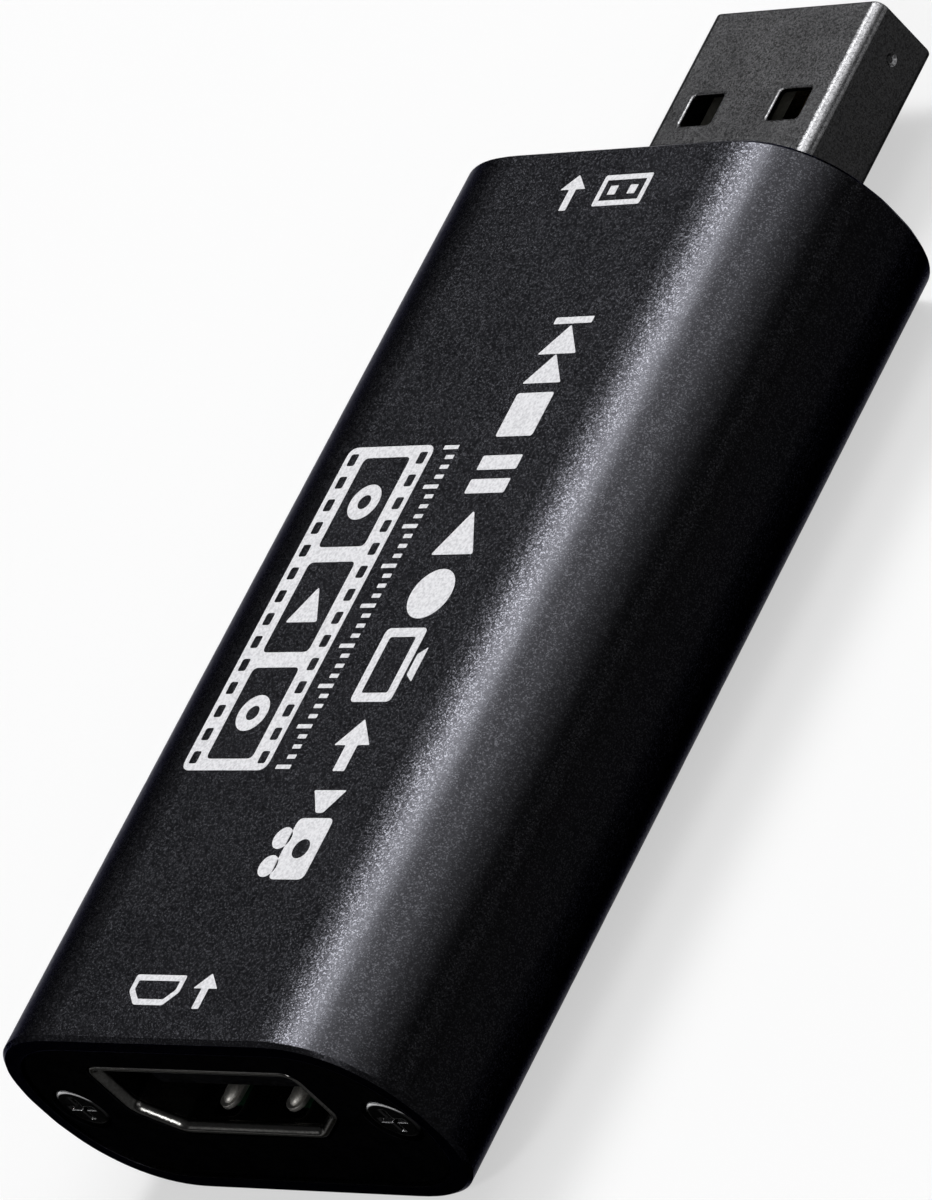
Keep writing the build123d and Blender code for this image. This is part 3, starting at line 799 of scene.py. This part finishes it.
def flare_section():
    """The flare's section, as steps outwards from the mouth and forwards from the tube, in mm."""
    section = []
    bend = [math.radians(180 - flare_angle * k / flare_steps) for k in range(flare_steps + 1)]
    for angle in bend:
        out = flare_turn + flare_inner_radius * math.cos(angle)
        section.append((out, flare_inner_radius * math.sin(angle)))
    last = bend[-1]
    middle = (flare_inner_radius + flare_outer_radius) / 2
    half = (flare_inner_radius - flare_outer_radius) / 2
    for k in range(1, flare_steps):
        swing = last - math.pi * k / flare_steps
        out = flare_turn + middle * math.cos(last) + half * math.cos(swing)
        section.append((out, middle * math.sin(last) + half * math.sin(swing)))
    for angle in reversed(bend):
        out = flare_turn + flare_outer_radius * math.cos(angle)
        section.append((out, flare_outer_radius * math.sin(angle)))
    return section


def make_socket_flare(finish):
    """The flared edge that runs without a break round the mouth of the video socket's shell."""
    corners = [
        (-socket_half_roof, socket_roof_z),
        (socket_half_roof, socket_roof_z),
        (socket_half_roof, socket_shoulder_z),
        (socket_half_floor, socket_floor_z),
        (-socket_half_floor, socket_floor_z),
        (-socket_half_roof, socket_shoulder_z),
    ]
    line = rounded(corners, flare_corner, steps=8)
    section = flare_section()
    tube_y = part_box("video_socket_shell")[0].y + flare_depth * mm
    vertices = []
    faces = []
    for i, point in enumerate(line):
        along = (line[(i + 1) % len(line)] - line[i - 1]).normalized()
        outward = Vector((-along.y, along.x))
        here = i * len(section)
        there = (i + 1) % len(line) * len(section)
        for k, (out, forward) in enumerate(section):
            place = point + outward * out
            vertices.append((place.x * mm, tube_y - forward * mm, place.y * mm))
            following = (k + 1) % len(section)
            faces.append((here + k, there + k, there + following, here + following))
    mesh = bpy.data.meshes.new("video_socket_flare")
    mesh.from_pydata(vertices, [], faces)
    mesh.polygons.foreach_set("use_smooth", [True] * len(faces))
    shape = bmesh.new()
    shape.from_mesh(mesh)
    bmesh.ops.recalc_face_normals(shape, faces=shape.faces)
    shape.to_mesh(mesh)
    shape.free()
    piece = add_piece("video_socket_flare", mesh, finish)
    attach(piece, "box")


def floor_finish():
    """White paper. The camera, reflections and clear things see it partly as plain white."""
    shader = Shader("floor_white")
    shader.set(Specular_IOR_Level=0.0, Roughness=1.0, Base_Color=(*grey(floor_paleness), 1.0))
    ray = shader.add("ShaderNodeLightPath")
    seen = ray.outputs["Is Camera Ray"]
    for name in ("Is Glossy Ray", "Is Transmission Ray"):
        either = shader.add("ShaderNodeMath", operation="MAXIMUM")
        shader.join(seen, either.inputs[0])
        shader.join(ray.outputs[name], either.inputs[1])
        seen = either.outputs["Value"]
    share = shader.add("ShaderNodeMath", operation="MULTIPLY")
    shader.join(seen, share.inputs[0])
    share.inputs[1].default_value = floor_white_share
    white = shader.add("ShaderNodeEmission")
    mix = shader.add("ShaderNodeMixShader")
    shader.join(share.outputs["Value"], mix.inputs[0])
    shader.join(shader.surface.outputs["BSDF"], mix.inputs[1])
    shader.join(white.outputs["Emission"], mix.inputs[2])
    shader.join(mix.outputs["Shader"], shader.output.inputs["Surface"])
    return shader.material


def make_stage():
    """The floor that the box lies on."""
    mesh = bpy.data.meshes.new("floor")
    half = floor_half_size
    corners = [(-half, -half, 0), (half, -half, 0), (half, half, 0), (-half, half, 0)]
    mesh.from_pydata(corners, [], [(0, 1, 2, 3)])
    floor = bpy.data.objects.new("floor", mesh)
    floor.location.z = -floor_drop
    bpy.context.scene.collection.objects.link(floor)
    mesh.materials.append(floor_finish())


def make_world():
    """A dim even room, a little paler low down all round it."""
    world = bpy.data.worlds.new("studio")
    bpy.context.scene.world = world
    world.use_nodes = True
    tree = world.node_tree
    tree.nodes.clear()
    output = tree.nodes.new("ShaderNodeOutputWorld")
    back = tree.nodes.new("ShaderNodeBackground")
    place = tree.nodes.new("ShaderNodeTexCoord")
    split = tree.nodes.new("ShaderNodeSeparateXYZ")
    ramp = tree.nodes.new("ShaderNodeValToRGB")
    tree.links.new(place.outputs["Generated"], split.inputs["Vector"])
    tree.links.new(split.outputs["Z"], ramp.inputs["Fac"])
    tree.links.new(ramp.outputs["Color"], back.inputs["Color"])
    tree.links.new(back.outputs["Background"], output.inputs["Surface"])
    low, high = ramp.color_ramp.elements
    low.position = 0.0
    low.color = (*room_low, 1.0)
    high.position = room_high_from
    high.color = (*room_high, 1.0)


def make_softbox(name, direction, width, length, strength):
    """A soft lamp in a direction from the object.

    strength is the light it gives on a surface that faces it, where pi makes white paper come out white.
    """
    data = bpy.data.lights.new(name, "AREA")
    data.shape = "RECTANGLE"
    data.size = width
    data.size_y = length
    data.energy = strength * math.pi * lamp_distance * lamp_distance
    lamp = bpy.data.objects.new(name, data)
    towards = Vector(direction).normalized()
    lamp.location = towards * lamp_distance + Vector((0, 0, top_z / 2))
    lamp.rotation_mode = "QUATERNION"
    lamp.rotation_quaternion = towards.to_track_quat("Z", "Y")
    bpy.context.scene.collection.objects.link(lamp)


def make_lights():
    for name, values in soft_lamps.items():
        make_softbox(name, **values)


make_camera()
materials = make_materials()
dress_nodes(materials)
make_print()
make_finger_bumps(materials["finger_steel"])
make_socket_flare(materials["flare_steel"])
make_stage()
make_world()
make_lights()
bpy.context.scene.view_settings.view_transform = "Standard"
